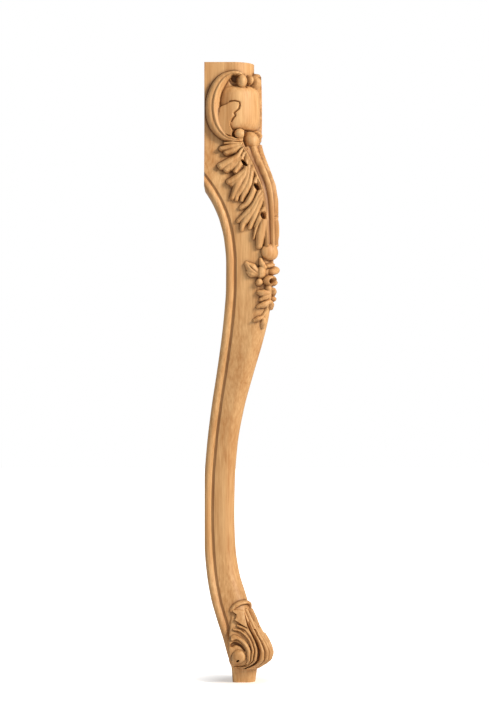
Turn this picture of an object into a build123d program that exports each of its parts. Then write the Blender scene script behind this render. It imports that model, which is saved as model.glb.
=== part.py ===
from build123d import *
from math import cos, pi, sin
import os

# The leg stands on its foot. The foot's centre on the floor is the origin, X and Y run along the two aprons,
# and the carved knee looks out along the diagonal between +X and -Y. The leg is symmetric in that diagonal.

# The shaft. A station is one horizontal cut: its height, how far its back face and its show face lie from the
# foot's centre, and the rounding of the knee between the two show faces.
shaft_bottom = 12.0
post_bottom = 598.0
post_straight = 668.0
post_length = 152.0
leg_height = post_bottom + post_length
post_back = 47.2
post_front = 13.3
post_knee_radius = 26.0
stations = [
    (shaft_bottom, -14.0, 13.0, 12.0),
    (30.0, -18.3, 15.0, 13.0),
    (52.0, -24.4, 14.0, 14.0),
    (75.0, -32.0, 10.5, 15.0),
    (100.0, -39.3, 3.6, 16.0),
    (128.0, -44.4, -5.0, 17.5),
    (160.0, -47.3, -9.6, 18.0),
    (200.0, -48.7, -11.0, 18.0),
    (240.0, -47.7, -10.3, 18.0),
    (285.0, -44.4, -7.0, 19.0),
    (330.0, -38.9, 1.0, 20.0),
    (375.0, -31.9, 13.2, 22.0),
    (415.0, -26.2, 24.8, 24.0),
    (445.0, -22.9, 31.6, 25.5),
    (475.0, -20.8, 35.3, 26.5),
    (505.0, -20.6, 36.5, 27.0),
    (535.0, -23.3, 36.0, 27.0),
    (560.0, -29.0, 35.2, 27.0),
    (580.0, -37.0, 33.8, 27.0),
    (post_bottom, -47.4, 30.6, 27.0),
    (610.0, -56.0, 26.6, 27.0),
    (620.0, -63.5, 23.0, 26.5),
    (632.0, -71.0, 18.8, 26.5),
    (645.0, -76.5, 15.1, post_knee_radius),
    (657.0, -80.6, 13.5, post_knee_radius),
    (post_straight, -82.0, post_front, post_knee_radius),
]

# The bead that runs down both back edges of the show faces, turned from the face through these angles, and the
# slope that rises from the groove beside it to the face
bead_radius = 5.0
bead_angles = [33.0, 61.5, 90.0, 120.0, 150.0, 180.0]
groove_run = 2.2
face_drop = 0.9
back_corner = 4.0

# The plain block under the scroll, which stands on the floor
block_top = 20.0
block_foot = (-12.8, 14.6)
block_head = (-14.6, 17.0)
block_knee_radius = 11.0
block_side_radius = 3.0

# The cartouche on the post: a swelling between two C-scrolls, with a pearl under it. The second number of each
# point and pearl is its height as a share of the swelling's, from 0 at its bottom to 1 at its top.
shield_axis = 8.0
shield_radius = 29.0
shield_end_radius = 25.6
shield_rim = 3.6
shield_bottom = 667.0
shield_height = 54.5
scroll_path = [
    (12.5, 1.257), (19.0, 1.273), (27.0, 1.218), (34.0, 1.116), (40.0, 0.950), (43.8, 0.743),
    (45.0, 0.523), (43.6, 0.294), (39.5, 0.101), (32.0, -0.077), (24.0, -0.150), (14.5, -0.172),
]
scroll_cuts = [
    (0.0, 5.0, 6.5), (0.1, 8.0, 7.5), (0.21, 11.5, 8.5), (0.32, 14.0, 9.0), (0.43, 15.6, 9.2), (0.54, 16.2, 9.2),
    (0.65, 15.2, 9.2), (0.75, 13.0, 9.0), (0.84, 10.0, 8.5), (0.92, 8.0, 8.0), (1.0, 6.0, 7.0),
]
scroll_profile = [
    (-0.5, 0.3), (-0.34, 0.8), (-0.08, 1.0), (0.16, 0.74), (0.32, 0.62), (0.42, 0.66), (0.5, 0.42),
]
volute_pearls = [
    (11.8, 1.090, 6.6, 7.2, 1.6),
    (14.0, -0.051, 6.4, 6.4, 2.8),
]
middle_pearls = [
    (0.0, -0.178, 7.8, 9.8, 5.0),
    (0.0, 1.147, 4.4, 4.4, 1.8),
]

# The acanthus leaf on the left show face: each finger's path from the midrib to its tip, as distance from the
# knee line and height above the floor, then its width and the height of its crest above the face
leaf_fingers = [
    ([(13.5, 653.0), (22.5, 653.0), (34.0, 651.5)], 5.5, 7.0),
    ([(13.0, 651.0), (23.5, 646.5), (41.5, 645.5)], 10.0, 8.0),
    ([(14.0, 646.0), (22.5, 641.0), (35.0, 636.5)], 8.0, 7.0),
    ([(13.0, 646.0), (21.0, 634.0), (34.0, 627.0), (49.5, 624.5)], 10.0, 8.0),
    ([(13.5, 642.5), (24.5, 628.5), (42.5, 616.0)], 9.5, 7.0),
    ([(13.0, 639.0), (20.5, 625.0), (30.5, 614.0)], 7.5, 7.5),
    ([(24.0, 612.0), (31.0, 609.0), (45.5, 604.5)], 8.0, 6.5),
    ([(10.2, 646.0), (12.2, 627.0), (18.0, 614.5), (30.0, 604.5), (43.5, 582.0)], 8.0, 8.0),
    ([(10.0, 628.0), (15.5, 613.0), (25.0, 600.0), (35.5, 589.5), (38.0, 581.0)], 8.0, 7.5),
    ([(8.4, 623.0), (12.5, 611.0), (19.0, 600.0), (28.5, 587.5), (31.5, 581.0)], 8.0, 7.5),
    ([(10.0, 607.0), (16.5, 589.5), (24.5, 577.0), (33.0, 572.5)], 8.0, 7.5),
    ([(10.0, 592.0), (17.5, 575.0), (27.5, 564.0), (37.0, 556.5)], 8.0, 7.5),
    ([(8.7, 587.5), (15.5, 573.5), (21.5, 565.0), (30.5, 556.0), (33.0, 544.5)], 9.5, 8.5),
    ([(7.5, 585.5), (12.5, 570.5), (18.5, 560.0), (23.0, 548.5)], 8.5, 7.5),
    ([(7.0, 573.5), (9.5, 564.0), (12.0, 557.0), (15.5, 550.0)], 6.5, 7.5),
    ([(10.5, 556.5), (15.2, 548.0), (18.5, 534.5)], 4.5, 6.0),
    ([(4.6, 565.0), (6.0, 556.0), (10.8, 541.0), (12.2, 523.5)], 11.0, 8.0),
    ([(8.5, 652.0), (6.5, 630.0), (5.0, 600.0), (4.6, 560.0), (4.4, 524.0)], 5.0, 9.0),
]
rib_finger = ([(0.0, 652.0), (0.0, 625.0), (0.0, 590.0), (0.0, 555.0), (0.0, 520.0)], 6.4, 10.5)
bud = (0.0, 519.5, 9.7, 9.7, -1.0)

# The blade that joins the fingers: height, how far it reaches from the knee line, and its rise on that line
blade_profile = [(-1.0, 0.2), (-0.6, 0.7), (-0.25, 1.0), (0.25, 1.0), (0.6, 0.7), (1.0, 0.2)]
blade_cuts = [
    (655.0, 19.0, 4.5), (644.0, 27.0, 5.5), (630.0, 33.0, 6.0), (614.0, 34.0, 6.0), (598.0, 31.0, 6.0),
    (582.0, 27.0, 6.0), (564.0, 22.0, 5.8), (545.0, 15.0, 5.2), (528.0, 9.0, 4.5),
]

# The flower drop under the leaf: petals and small leaves as fingers, and the berries
drop_fingers = [
    ([(15.0, 494.5), (22.5, 501.5), (31.0, 508.5)], 9.0, 5.0),
    ([(16.0, 494.0), (16.5, 501.0), (17.5, 508.0)], 7.0, 5.0),
    ([(14.5, 493.5), (21.0, 493.5), (28.0, 496.0)], 7.0, 4.5),
    ([(6.0, 500.0), (9.0, 506.0), (11.0, 513.5)], 6.0, 6.0),
    ([(0.0, 495.5), (-10.0, 498.5), (-21.0, 502.0)], 10.0, 6.5),
    ([(9.5, 490.5), (9.7, 495.0), (9.8, 501.5)], 9.5, 6.0),
    ([(-4.0, 485.5), (-8.0, 484.5), (-13.0, 482.0)], 8.0, 5.5),
    ([(1.8, 482.0), (1.8, 478.0), (1.8, 473.0)], 6.0, 6.5),
    ([(1.5, 471.0), (6.5, 471.0), (13.0, 472.5)], 9.0, 5.5),
    ([(1.0, 468.5), (4.0, 465.5), (8.5, 462.0)], 7.0, 5.5),
    ([(-6.0, 477.0), (-9.5, 473.0), (-13.5, 468.5)], 6.5, 5.0),
    ([(-1.5, 461.5), (4.5, 457.0), (11.5, 454.5)], 8.0, 5.0),
    ([(-3.0, 462.0), (-6.0, 457.5), (-8.5, 451.5)], 6.0, 5.0),
    ([(0.2, 458.0), (1.5, 449.0), (4.8, 441.5)], 3.0, 3.0),
    ([(4.0, 442.5), (8.0, 440.0), (12.8, 438.5)], 6.0, 4.0),
    ([(2.5, 442.5), (1.0, 436.0), (0.2, 429.0)], 7.0, 4.5),
]
drop_pearls = [
    (11.2, 484.0, 3.9, 3.9, 2.5),
    (-10.8, 464.5, 3.6, 3.6, 1.4),
    (1.0, 486.4, 5.6, 5.8, 3.0),
]

# The scroll foot: its body's stations as height, how far its show face lies from the foot's centre and the
# rounding of its knee; then the ribs that curl round the two volutes, as paths on that body
toe_back = -15.0
toe_side_radius = 4.0
toe_stations = [
    (18.0, 19.5, 12.0), (22.0, 24.5, 12.5), (30.0, 30.5, 13.5), (38.0, 31.2, 14.0), (48.0, 27.6, 14.0),
    (58.0, 21.4, 14.0), (68.0, 15.8, 14.0), (80.0, 10.5, 15.0), (94.0, 3.0, 12.5),
]
toe_ribs = [
    (
        [(23.9, 71.0), (17.6, 66.5), (13.8, 58.1), (13.5, 47.2), (14.0, 37.5), (14.8, 27.5), (18.5, 21.0), (30.0, 20.4)],
        2.8,
    ),
    ([(28.0, 65.3), (21.3, 63.0), (17.9, 56.6), (18.5, 47.6), (19.1, 38.7), (19.6, 30.2)], 2.6),
    ([(34.1, 56.0), (26.6, 56.0), (23.2, 50.5), (22.6, 41.1), (22.9, 33.7)], 2.8),
    ([(2.4, 84.0), (3.4, 71.0), (3.4, 62.0), (3.6, 54.0), (4.8, 46.0), (5.8, 38.0), (6.2, 30.0), (5.6, 22.0)], 2.6),
]
toe_crest = ([(0.0, 84.0), (0.0, 71.0), (0.0, 58.7), (0.0, 48.4), (0.0, 39.2), (0.0, 29.8), (0.0, 21.0)], 2.2)
collar = ([(-19.5, 86.5), (-12.2, 93.0), (0.0, 96.0), (12.2, 93.0), (19.5, 86.5)], 2.8)
toe_fold = ([(14.3, 87.0), (11.4, 78.0), (10.4, 69.0), (9.4, 60.0)], 8.0, 5.0)
pearl_sides = 12
pearl_latitudes = [-78.0, -47.0, -16.0, 16.0, 47.0, 78.0]
volute = (33.7, 32.3, 10.4, 10.4, -4.9)

# Every cut strip of the carving starts this deep in the wood. The cuts are its share of the path, then its width
# and its crest as shares of the largest; the profile is one cut, across and up.
strip_depth = 2.4
finger_cuts = [(0.0, 0.78, 0.84), (0.3, 1.06, 0.96), (0.62, 1.14, 1.0), (0.87, 0.9, 0.86), (1.0, 0.36, 0.46)]
finger_profile = [(-0.47, 0.5), (-0.24, 0.9), (0.06, 1.0), (0.4, 0.66)]
rib_profile = [(-0.46, 0.5), (-0.2, 0.94), (0.2, 0.94), (0.46, 0.5)]
rib_steps = 9

diagonal = Plane(origin=(0, 0, 0), x_dir=(1, -1, 0), z_dir=(1, 1, 0))
slant = 0.5**0.5


def face_at(table, height):
    """How far the show face lies from the centre at any height, and the knee's rounding there."""
    for below, above in zip(table, table[1:]):
        if height <= above[0]:
            break
    share = min(max((height - below[0]) / (above[0] - below[0]), 0.0), 1.0)
    return [b + (a - b) * share for b, a in zip(below[-2:], above[-2:])]


def on_face(table, across, height, lift=0.0):
    """A point so far round from the knee line (left of it above nought), so high, so far off the surface."""
    front, radius = face_at(table, height)
    bend = radius * pi / 4
    if abs(across) <= bend:
        angle = pi / 4 - abs(across) / radius
        reach = radius + lift
        point = (front - radius + reach * sin(angle), radius - front - reach * cos(angle))
    else:
        point = (front - radius - (abs(across) - bend), -front - lift)
    if across < 0:
        point = (-point[1], -point[0])
    return Vector(*point, height)


def face_plane(table, path, share, lift):
    """A plane square to a path on the face, with its X across the path and its Y off the face."""
    here = path @ share
    before = path @ max(share - 0.02, 0.0)
    after = path @ min(share + 0.02, 1.0)
    along = on_face(table, after.X, after.Y, lift) - on_face(table, before.X, before.Y, lift)
    base = on_face(table, here.X, here.Y, lift)
    off = on_face(table, here.X, here.Y, lift + 1.0) - base
    return Plane(base, x_dir=off.cross(along), z_dir=along)


def faceted(rings):
    """A closed solid with flat facets, skinned over a row of rings that have as many corners each."""
    facets = [Face(Wire.make_polygon(ring)) for ring in (rings[0], rings[-1])]
    for near, far in zip(rings, rings[1:]):
        for a, b, c, d in zip(near, near[1:] + near[:1], far[1:] + far[:1], far):
            facets.append(Face(Wire.make_polygon([a, b, c])))
            facets.append(Face(Wire.make_polygon([a, c, d])))
    return Solid(Shell(facets))


def strip(table, points, cuts, profile):
    """A strip of carving cut along a path on the surface, with each cut's share, width and crest."""
    path = Spline(*points)
    rings = []
    for share, width, crest in cuts:
        place = face_plane(table, path, share, 0.0)
        corners = [(x * width, y * crest) for x, y in profile]
        corners = [(-width / 2, -strip_depth)] + corners + [(width / 2, -strip_depth)]
        rings.append([place.from_local_coords(corner) for corner in corners])
    return faceted(rings)


def finger(table, points, width, crest):
    """One tapering finger of a leaf."""
    cuts = [(share, wide * width, high * crest) for share, wide, high in finger_cuts]
    return strip(table, points, cuts, finger_profile)


def rib(table, points, radius):
    """A rib of even thickness."""
    cuts = [(step / rib_steps, 2 * radius, radius) for step in range(rib_steps + 1)]
    return strip(table, points, cuts, rib_profile)


def pearl(table, across, height, radius, half_height, lift):
    """A berry or knob on the surface, cut with flat facets between its level rings."""
    centre = on_face(table, across, height, lift)
    turns = [2 * pi * (side / pearl_sides + 0.125) for side in range(pearl_sides)]
    rings = []
    for latitude in pearl_latitudes:
        level = latitude * pi / 180
        reach = radius * cos(level)
        rise = half_height * sin(level)
        rings.append([centre + Vector(reach * cos(turn), -reach * sin(turn), rise) for turn in turns])
    return faceted(rings)


def framed(share):
    """A height on the cartouche."""
    return shield_bottom + shield_height * share


def shield_solid():
    """The swelling in the middle of the cartouche, a barrel."""
    axis = Axis((-shield_axis, shield_axis, 0), (0, 0, 1))
    shield_top = framed(1.0)
    middle = framed(0.5)
    with BuildPart() as barrel:
        with BuildSketch(Plane((-shield_axis, shield_axis, 0), x_dir=(1, 0, 0), z_dir=(0, -1, 0))):
            with BuildLine():
                ThreePointArc(
                    (shield_end_radius, shield_bottom + shield_rim),
                    (shield_radius, middle),
                    (shield_end_radius, shield_top - shield_rim),
                )
                Polyline(
                    (shield_end_radius, shield_top - shield_rim),
                    (shield_end_radius - shield_rim, shield_top),
                    (0, shield_top),
                    (0, shield_bottom),
                    (shield_end_radius - shield_rim, shield_bottom),
                    (shield_end_radius, shield_bottom + shield_rim),
                )
            make_face()
        revolve(axis=axis)
    return barrel.part


def half_section(back, front, knee_radius):
    """Draws one show side of a section, from the knee's tangent point to the round of the back corner."""
    turns = [a * pi / 180 for a in bead_angles]
    bead = [(back + bead_radius * (1 + cos(a)), -front + bead_radius * (1 - sin(a))) for a in turns]
    face_edge = (bead[0][0] + groove_run, face_drop - front)
    Polyline((front - knee_radius, -front), face_edge, *bead, (back, -back - back_corner))


def knee_arc(front, knee_radius):
    """Draws the rounded knee of a section."""
    centre = front - knee_radius
    ThreePointArc(
        (front, -centre),
        (centre + knee_radius * slant, -centre - knee_radius * slant),
        (centre, -front),
    )


def leg_section(height, back, front, knee_radius):
    """One horizontal cut through the shaft."""
    corner = back + back_corner
    with BuildSketch(Plane.XY.offset(height)) as cut:
        with BuildLine():
            half_section(back, front, knee_radius)
            mirror(about=diagonal)
            knee_arc(front, knee_radius)
            Line((back, -corner), (corner, -back))
        make_face()
    return cut.sketch


def square_section(height, back, front, knee_radius, side_radius):
    """A plain square cut with a rounded knee, its two side corners rounded less."""
    with BuildSketch(Plane.XY.offset(height)) as cut:
        with BuildLine():
            knee_arc(front, knee_radius)
            Line((front - knee_radius, -front), (back + side_radius, -front))
            RadiusArc((back + side_radius, -front), (back, side_radius - front), side_radius)
            Line((back, side_radius - front), (back, -back))
            mirror(about=diagonal)
        make_face()
    return cut.sketch


def blade_ring(height, reach, rise):
    """One level cut through the leaf's blade: a thin layer over the knee."""
    crown = [on_face(stations, across * reach, height, share * rise) for across, share in blade_profile]
    return crown + [on_face(stations, side * reach, height, -strip_depth) for side in (1.0, -1.0)]


with BuildPart() as leg:
    loft([leg_section(*station) for station in stations], ruled=True)
    add(leg_section(*stations[-1]))
    extrude(amount=leg_height - post_straight)
    with Locations((-post_back, post_back, 0)):
        Box(
            300, 300, leg_height, align=(Align.MIN, Align.MAX, Align.MIN), mode=Mode.INTERSECT
        )

with BuildPart() as block:
    loft(
        [
            square_section(0.0, *block_foot, block_knee_radius, block_side_radius),
            square_section(block_top, *block_head, block_knee_radius, block_side_radius),
        ]
    )
with BuildPart() as toe:
    loft(
        [square_section(z, toe_back, front, radius, toe_side_radius) for z, front, radius in toe_stations],
        ruled=True,
    )

left = [finger(stations, *f) for f in leaf_fingers]
left += [rib(toe_stations, *r) for r in toe_ribs]
scroll = [(across, framed(share)) for across, share in scroll_path]
left += [strip(stations, scroll, scroll_cuts, scroll_profile), finger(toe_stations, *toe_fold)]
left_pearls = [pearl(stations, across, framed(share), *size) for across, share, *size in volute_pearls]
left_pearls += [pearl(toe_stations, *volute)]

middle = [faceted([blade_ring(*cut) for cut in blade_cuts]), finger(stations, *rib_finger), shield_solid()]
middle += [finger(stations, *f) for f in drop_fingers]
middle += [rib(toe_stations, *toe_crest), rib(toe_stations, *collar)]
knee_pearls = [pearl(stations, across, framed(share), *size) for across, share, *size in middle_pearls]
knee_pearls += [pearl(stations, *p) for p in drop_pearls + [bud]]

with leg:
    add([block.part, toe.part] + left + middle + [form.mirror(diagonal) for form in left])
    add(knee_pearls + left_pearls + [form.mirror(diagonal) for form in left_pearls])

os.makedirs("parts", exist_ok=True)
leg.part.label = "leg"
export_step(leg.part, "parts/leg.step")
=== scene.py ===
# %% [markdown]
# # A carved cabriole leg
#
# This lesson dresses one leg of a rococo-style table: a square post with a scroll cartouche, an acanthus
# leaf over the knee, a drop of flowers, and an S-shaped shaft that ends in a scroll foot. The whole leg is
# one block of wood, so it is modelled the way a carver works it: first the sawn and shaped body, then the
# relief, which is a height above the body at every point of its surface.
#
# The first cell loads the CAD model of the leg. The leg's sizes are in millimetres, and MM turns them into
# Blender's metres.

# %% The frame
import math

import bmesh
import bpy
import numpy as np
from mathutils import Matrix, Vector


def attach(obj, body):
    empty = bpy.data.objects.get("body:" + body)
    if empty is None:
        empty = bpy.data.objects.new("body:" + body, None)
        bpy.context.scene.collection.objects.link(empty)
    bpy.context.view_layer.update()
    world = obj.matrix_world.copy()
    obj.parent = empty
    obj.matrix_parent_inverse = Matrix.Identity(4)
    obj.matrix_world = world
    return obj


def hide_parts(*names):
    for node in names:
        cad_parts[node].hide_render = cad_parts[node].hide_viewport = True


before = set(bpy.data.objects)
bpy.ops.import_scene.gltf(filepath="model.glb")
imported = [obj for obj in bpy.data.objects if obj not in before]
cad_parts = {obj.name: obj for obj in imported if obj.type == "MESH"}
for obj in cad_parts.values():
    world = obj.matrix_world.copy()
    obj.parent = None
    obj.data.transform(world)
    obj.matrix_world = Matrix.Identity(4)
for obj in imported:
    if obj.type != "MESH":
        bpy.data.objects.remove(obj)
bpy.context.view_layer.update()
MM = 0.001

# %% [markdown]
# ## The camera
#
# The photograph looks level at one show face of the leg, so the camera stands in front of that face. Its
# lens is long, because the post's sides run parallel in the picture. One pixel is 1.22 mm on the leg, and
# the lens follows from that, from the picture's height and from the camera's distance in metres.

# %% The camera
PIXEL = 1.2155
PICTURE_HEIGHT = 716
SENSOR = 36.0
CAMERA_DISTANCE = 2.4
CAMERA_X, CAMERA_Z, TARGET_Z = 0.0015, 0.36, 0.3915
camera_data = bpy.data.cameras.new("photo_camera")
camera = bpy.data.objects.new("photo_camera", camera_data)
bpy.context.scene.collection.objects.link(camera)
bpy.context.scene.camera = camera
camera.location = (CAMERA_X, -CAMERA_DISTANCE, CAMERA_Z)
target = Vector((CAMERA_X, 0.0, TARGET_Z))
camera.rotation_euler = (target - camera.location).to_track_quat("-Z", "Y").to_euler()
camera_data.lens = SENSOR * CAMERA_DISTANCE / (PICTURE_HEIGHT * PIXEL * MM)
bpy.context.scene.view_settings.view_transform = "Standard"
print("Lens:", round(camera_data.lens, 1), "mm")

# %% [markdown]
# ## The body's outline
#
# A cabriole leg is sawn from a square post along the same curve on two sides, so every level cut through it
# is a square with one rounded corner, the knee. Each station gives the cut's height, how far the back face
# and the show face lie from the foot's centre, and the knee's rounding. The foot's centre is the origin.

# %% The stations
LEG_HEIGHT = 750.0
POST_BACK = 47.2
STATIONS = np.array(
    [
        (0.0, -12.8, 14.6, 11.0),
        (19.0, -14.5, 16.9, 11.0),
        (30.0, -18.3, 15.0, 13.0),
        (52.0, -24.4, 14.0, 14.0),
        (75.0, -32.0, 10.5, 15.0),
        (100.0, -39.3, 3.6, 15.0),
        (128.0, -44.4, -5.0, 15.0),
        (160.0, -47.3, -9.6, 14.0),
        (200.0, -48.7, -11.0, 13.5),
        (240.0, -47.7, -10.3, 13.5),
        (285.0, -44.4, -7.0, 14.0),
        (330.0, -38.9, 1.0, 15.0),
        (375.0, -31.9, 13.2, 16.0),
        (415.0, -26.2, 24.8, 16.5),
        (445.0, -22.9, 31.6, 17.0),
        (475.0, -20.8, 35.3, 17.0),
        (505.0, -20.6, 36.5, 15.5),
        (535.0, -23.3, 36.0, 15.5),
        (560.0, -29.0, 35.2, 15.5),
        (580.0, -37.0, 33.8, 15.5),
        (598.0, -47.4, 30.6, 15.5),
        (610.0, -56.0, 26.6, 15.5),
        (620.0, -63.5, 23.0, 16.0),
        (632.0, -71.0, 18.8, 17.5),
        (645.0, -76.5, 15.1, 20.5),
        (657.0, -80.6, 13.5, 24.0),
        (668.0, -82.0, 13.3, 26.0),
        (LEG_HEIGHT, -82.0, 13.3, 26.0),
    ]
)
print("Stations on the shaft:", len(STATIONS))

# %% [markdown]
# ## A curve through the stations
#
# Between two stations the outline follows a cubic curve. Its slope at each station is the harmonic mean of
# the slopes on both sides, and level where they differ in sign, so the curve never swings past a station. A
# plain spline would leave small waves in the shaft, and light on smooth wood shows each of them.

# %% The curve through the stations


def smooth_columns(table, heights):
    """The stations' values at many heights, on curves that pass through each station without overshoot."""
    z = table[:, 0]
    result = []
    for column in table[:, 1:].T:
        slope = np.diff(column) / np.diff(z)
        below, above = slope[:-1], slope[1:]
        same = below * above > 0
        tangent = np.zeros_like(column)
        tangent[1:-1][same] = 2 * below[same] * above[same] / (below[same] + above[same])
        tangent[0], tangent[-1] = slope[0], slope[-1]
        i = np.clip(np.searchsorted(z, heights, side="right") - 1, 0, len(z) - 2)
        width = z[i + 1] - z[i]
        t = (heights - z[i]) / width
        result.append(
            (2 * t**3 - 3 * t**2 + 1) * column[i]
            + (t**3 - 2 * t**2 + t) * width * tangent[i]
            + (3 * t**2 - 2 * t**3) * column[i + 1]
            + (t**3 - t**2) * width * tangent[i + 1]
        )
    return result


half_way = smooth_columns(STATIONS, np.array([LEG_HEIGHT / 2]))
print("Back, front and rounding half-way up:", [round(float(value[0]), 1) for value in half_way])

# %% [markdown]
# ## Drawing relief with strokes
#
# The carving is kept as a map: for every point of the show faces, how high the wood stands above the shaped
# body. A point is named by its distance from the knee line, measured round the surface, and its height above
# the floor. A stroke lays a ridge along a curve on that map, as one pass of a gouge on each side leaves it.
# Where strokes meet, the higher one shows, which cuts the crisp valleys between the fingers of a leaf.

# %% The map and a smooth curve


class Relief:
    """A map of heights over the points (across, up) of one surface."""

    def __init__(self, across, up):
        self.across, self.up = across, up
        self.height = np.zeros_like(across)


def smooth_step(x):
    """Nought below nought, one above one, and a soft S between them."""
    x = np.clip(x, 0, 1)
    return x * x * (3 - 2 * x)


def curve_through(points, steps=14):
    """A smooth curve through a few points: a Catmull-Rom spline."""
    p = np.array(points, float)
    p = np.vstack([2 * p[0] - p[1], p, 2 * p[-1] - p[-2]])
    t = np.linspace(0, 1, steps, endpoint=False)[:, None]
    runs = []
    for a, b, c, d in zip(p, p[1:], p[2:], p[3:]):
        square, cube = 2 * a - 5 * b + 4 * c - d, 3 * b - a - 3 * c + d
        runs.append(0.5 * (2 * b + (c - a) * t + square * t**2 + cube * t**3))
    return np.vstack(runs + [p[-2]])


print("Points on a curve through three:", len(curve_through([(0, 0), (1, 1), (2, 0)])))

# %% Where a stroke lies on the map
FAR = 1e9
MARGIN = 1.05


def along(relief, points, half_widths):
    """For every point near a curve: where along it (0 to 1) and how far across it (-1 to 1, left below)."""
    path = curve_through(points)
    steps = np.linalg.norm(np.diff(path, axis=0), axis=1)
    length = np.concatenate([[0], np.cumsum(steps)])
    reach = max(half_widths) * MARGIN
    near = (
        (relief.across > path[:, 0].min() - reach)
        & (relief.across < path[:, 0].max() + reach)
        & (relief.up > path[:, 1].min() - reach)
        & (relief.up < path[:, 1].max() + reach)
    )
    q = np.stack([relief.across[near], relief.up[near]], 1)
    best = np.full(len(q), FAR)
    where = np.zeros(len(q))
    side = np.zeros(len(q))
    for a, b, start, run in zip(path, path[1:], length, steps):
        d = (b - a) / run
        walked = np.clip((q - a) @ d, 0, run)
        off = q - a - walked[:, None] * d
        distance = np.hypot(off[:, 0], off[:, 1])
        closer = distance < best
        best[closer] = distance[closer]
        where[closer] = (start + walked[closer]) / length[-1]
        side[closer] = np.sign(d[0] * off[closer, 1] - d[1] * off[closer, 0])
    return near, where, side * best / spread(half_widths, where)


def spread(values, where):
    """Values given at even steps along a stroke, at any other place along it."""
    return np.interp(where, np.linspace(0, 1, len(values)), values)


def both_faces(relief, points, half_widths, both):
    """A stroke's place on the map and, if it is cut on both show faces, that of its mirror image."""
    for side in (1, -1) if both else (1,):
        near, where, v = along(relief, [(side * across, up) for across, up in points], half_widths)
        yield near, where, side * v


print("Half widths of 1, 3 and 1 mm give", spread([1, 3, 1], 0.25), "mm a quarter of the way along")

# %% Strokes that raise the wood
SHOULDER = 0.6


def ridge(relief, points, half_widths, crests, power=2.4, lean=0.0, both=True):
    """Raises a rounded ridge. A higher power makes it squarer, and lean moves its crest to one side."""
    for near, where, v in both_faces(relief, points, half_widths, both):
        v = np.clip(v, -1, 1)
        v = np.where(v > lean, (v - lean) / (1 - lean), (v - lean) / (1 + lean))
        rise = spread(crests, where) * (1 - np.abs(v) ** power) ** SHOULDER
        relief.height[near] = np.maximum(relief.height[near], rise)


def moulding(relief, points, half_widths, crests, profile, both=True):
    """Raises a band whose cross-section is a drawn profile: (position across, share of the crest) pairs."""
    for near, where, v in both_faces(relief, points, half_widths, both):
        rise = spread(crests, where) * np.interp(v, *zip(*profile), left=0.0, right=0.0)
        relief.height[near] = np.maximum(relief.height[near], rise)


def dome(relief, across, up, half_width, half_height, crest, base=0.0, both=True):
    """Raises an egg-shaped boss whose rim stands at the height of its base."""
    for side in (1, -1) if both else (1,):
        r2 = ((relief.across - side * across) / half_width) ** 2 + ((relief.up - up) / half_height) ** 2
        rise = base + (crest - base) * np.sqrt(np.clip(1 - r2, 0, 1))
        relief.height = np.where(r2 < 1, np.maximum(relief.height, rise), relief.height)


trial = Relief(*np.meshgrid(np.linspace(-9, 9, 37), np.linspace(0, 18, 37)))
dome(trial, 0.0, 9.0, 6.0, 6.0, 5.0, both=False)
print("A trial boss stands", trial.height.max(), "mm high")

# %% Strokes that cut into it
GROOVE_STEEPNESS = 1.6
PIT_RIM, PIT_STEEPNESS = 1.15, 2.5


def groove(relief, points, half_widths, floor, both=True):
    """Cuts down to a floor along a curve."""
    for near, _, v in both_faces(relief, points, half_widths, both):
        cut = smooth_step((1 - np.abs(v)) * GROOVE_STEEPNESS)
        height = relief.height[near]
        relief.height[near] = np.minimum(height, height * (1 - cut) + floor * cut)


def cos_sin(degrees):
    """The cosine and the sine of an angle."""
    return math.cos(math.radians(degrees)), math.sin(math.radians(degrees))


def pit(relief, across, up, half_width, half_height, floor, turn=0.0, both=True):
    """Sinks an egg-shaped hole, turned by an angle in degrees."""
    for side in (1, -1) if both else (1,):
        c, s = cos_sin(turn * side)
        du, dv = relief.across - side * across, relief.up - up
        r = np.hypot((du * c + dv * s) / half_width, (dv * c - du * s) / half_height)
        cut = smooth_step((PIT_RIM - r) * PIT_STEEPNESS)
        sunk = np.minimum(relief.height, relief.height * (1 - cut) + floor * cut)
        relief.height = np.where(cut > 0, sunk, relief.height)


pit(trial, 0.0, 9.0, 2.0, 2.0, -1.0, both=False)
print("A pit in its top goes down to", trial.height[18, 18], "mm")

# %% [markdown]
# ## The grid that carries the relief
#
# The body starts as one flat grid. Its columns run round the leg: close together over the two show faces,
# where the carving is, then a few over the edge bead and the plain back. Its rows are close where there is
# carving and far apart on the plain shaft. Every vertex then moves to its place on the leg, as when a sheet
# is rolled up, and the two long edges are sewn together. One grid carries the whole relief without a seam,
# where a separate leaf or scroll would leave an edge that no carved leg has.

# %% The grid's rows
ROW_RUNS = [
    (0.0, 30.0, 8),
    (30.0, 84.0, 8),
    (84.0, 100.0, 22),
    (100.0, 424.0, 44),
    (424.0, 514.0, 118),
    (514.0, 742.0, 326),
]
LAST_ROWS = [742.0, LEG_HEIGHT]
rows = np.concatenate([np.linspace(*run, endpoint=False) for run in ROW_RUNS] + [LAST_ROWS])
back, front, radius = smooth_columns(STATIONS, rows)
print("Rows:", len(rows))

# %% One column of a show face


def face_column(across, front, radius):
    """The points that lie this far round from the knee line, the normals there, and the way past the bend."""
    bend = radius * math.pi / 4
    angle = math.pi / 4 - np.minimum(across, bend) / radius
    flat = np.maximum(across - bend, 0)
    x = front - radius + radius * np.sin(angle) - flat
    y = radius - front - radius * np.cos(angle)
    return (x, y), (np.sin(angle), -np.cos(angle)), flat


(_, knee_y), _, _ = face_column(0.0, front, radius)
print("The knee line comes forward to", round(-float(knee_y.min()), 1), "mm")

# %% [markdown]
# ## The edge bead
#
# Along both back edges of the shaft runs a round bead with a groove beside it. The carver starts it just
# above the foot block, so both grow out of the flat wood there. The show face falls a little towards it.

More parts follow.
